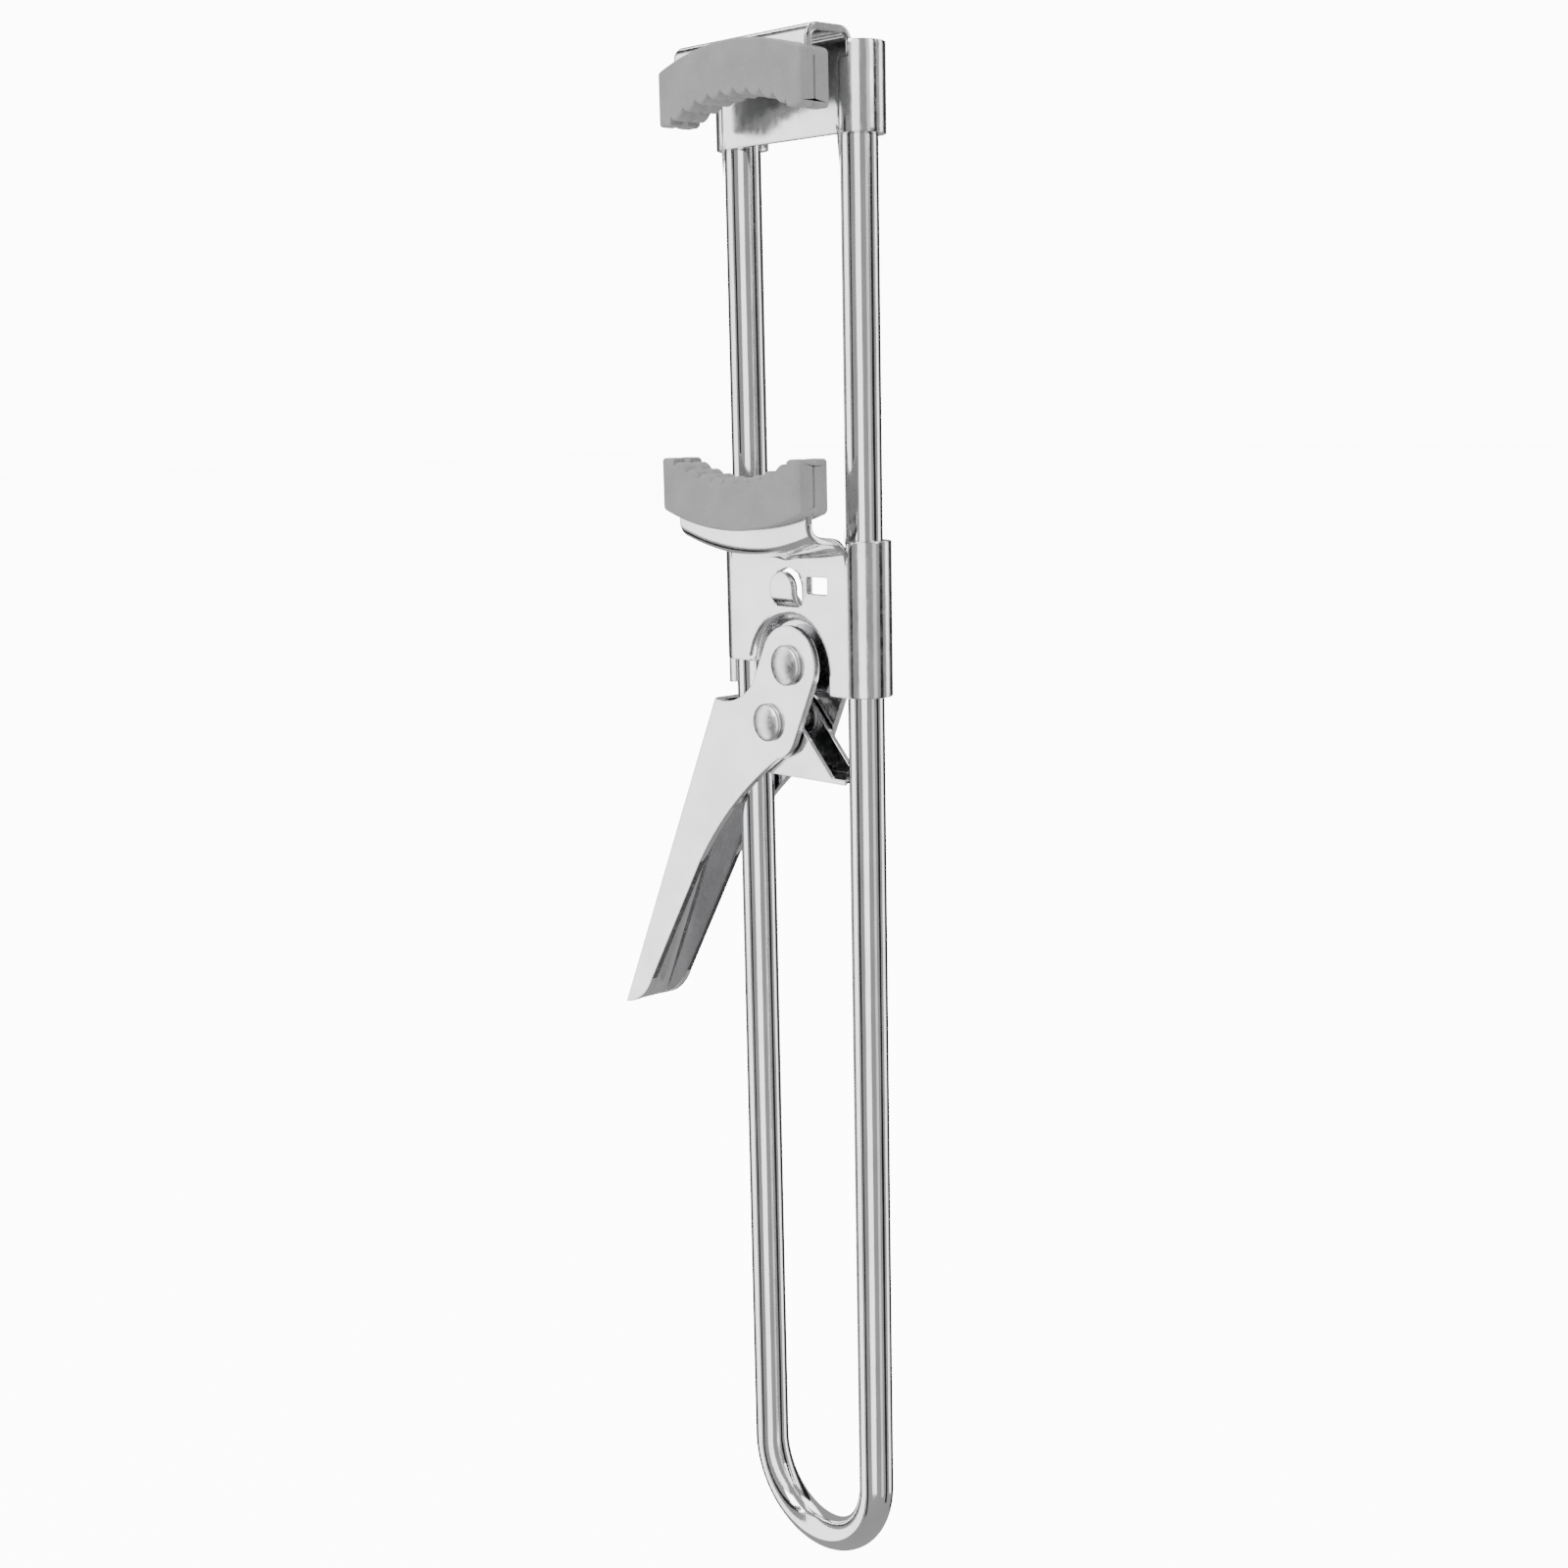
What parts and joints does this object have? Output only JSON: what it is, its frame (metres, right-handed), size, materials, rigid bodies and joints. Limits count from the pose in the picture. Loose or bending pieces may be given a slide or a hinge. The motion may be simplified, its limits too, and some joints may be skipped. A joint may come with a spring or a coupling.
{
  "type": "jar lid gripper opener",
  "caption": "Hand opener for jar lids: a bent rod frame with a fixed rubber-faced jaw and a sliding jaw that a hand lever and locking strut drive.",
  "frame": {"origin": "foot of the U bend, midway between the two legs, in the plane of their centre lines", "axes": "+Z along the legs towards the fixed jaw, +X across the legs, -Y towards the side that carries the pads"},
  "size_m": [0.0574, 0.0199, 0.225],
  "materials": {
    "polished_steel": "bright polished rod",
    "pressed_steel": "bright polished sheet with sheared edges",
    "rivet_steel": "satin rivet heads",
    "spring_steel": "drawn wire",
    "grey_rubber": "matt moulded rubber"
  },
  "bodies": {
    "frame": {"rod_frame": "polished_steel", "fixed_bracket": "pressed_steel", "fixed_pad": "grey_rubber"},
    "slider": {"slider_bracket": "pressed_steel", "sliding_pad": "grey_rubber", "lever_rivet": "rivet_steel"},
    "lever": {"lever": "pressed_steel", "strut_rivet": "rivet_steel", "strut_spring": "spring_steel"},
    "strut": {"locking_strut": "pressed_steel"}
  },
  "joints": [
    {"name": "jaw_slide", "type": "slide", "parent": "frame", "child": "slider", "axis": [0, 0, 1], "range_m": [-0.1, 0.043]},
    {"name": "lever_pivot", "type": "hinge", "parent": "slider", "child": "lever", "pos_m": [0, 0, 0.1396], "axis": [0, 1, 0], "range_deg": [-6, 12]},
    {"name": "strut_pivot", "type": "hinge", "parent": "lever", "child": "strut", "pos_m": [-0.00433, 0, 0.13092], "axis": [0, 1, 0], "range_deg": [-25.2, 12.6]}
  ],
  "couplings": [
    {"joint": "strut_pivot", "follows": "lever_pivot", "ratio": -2.1}
  ]
}
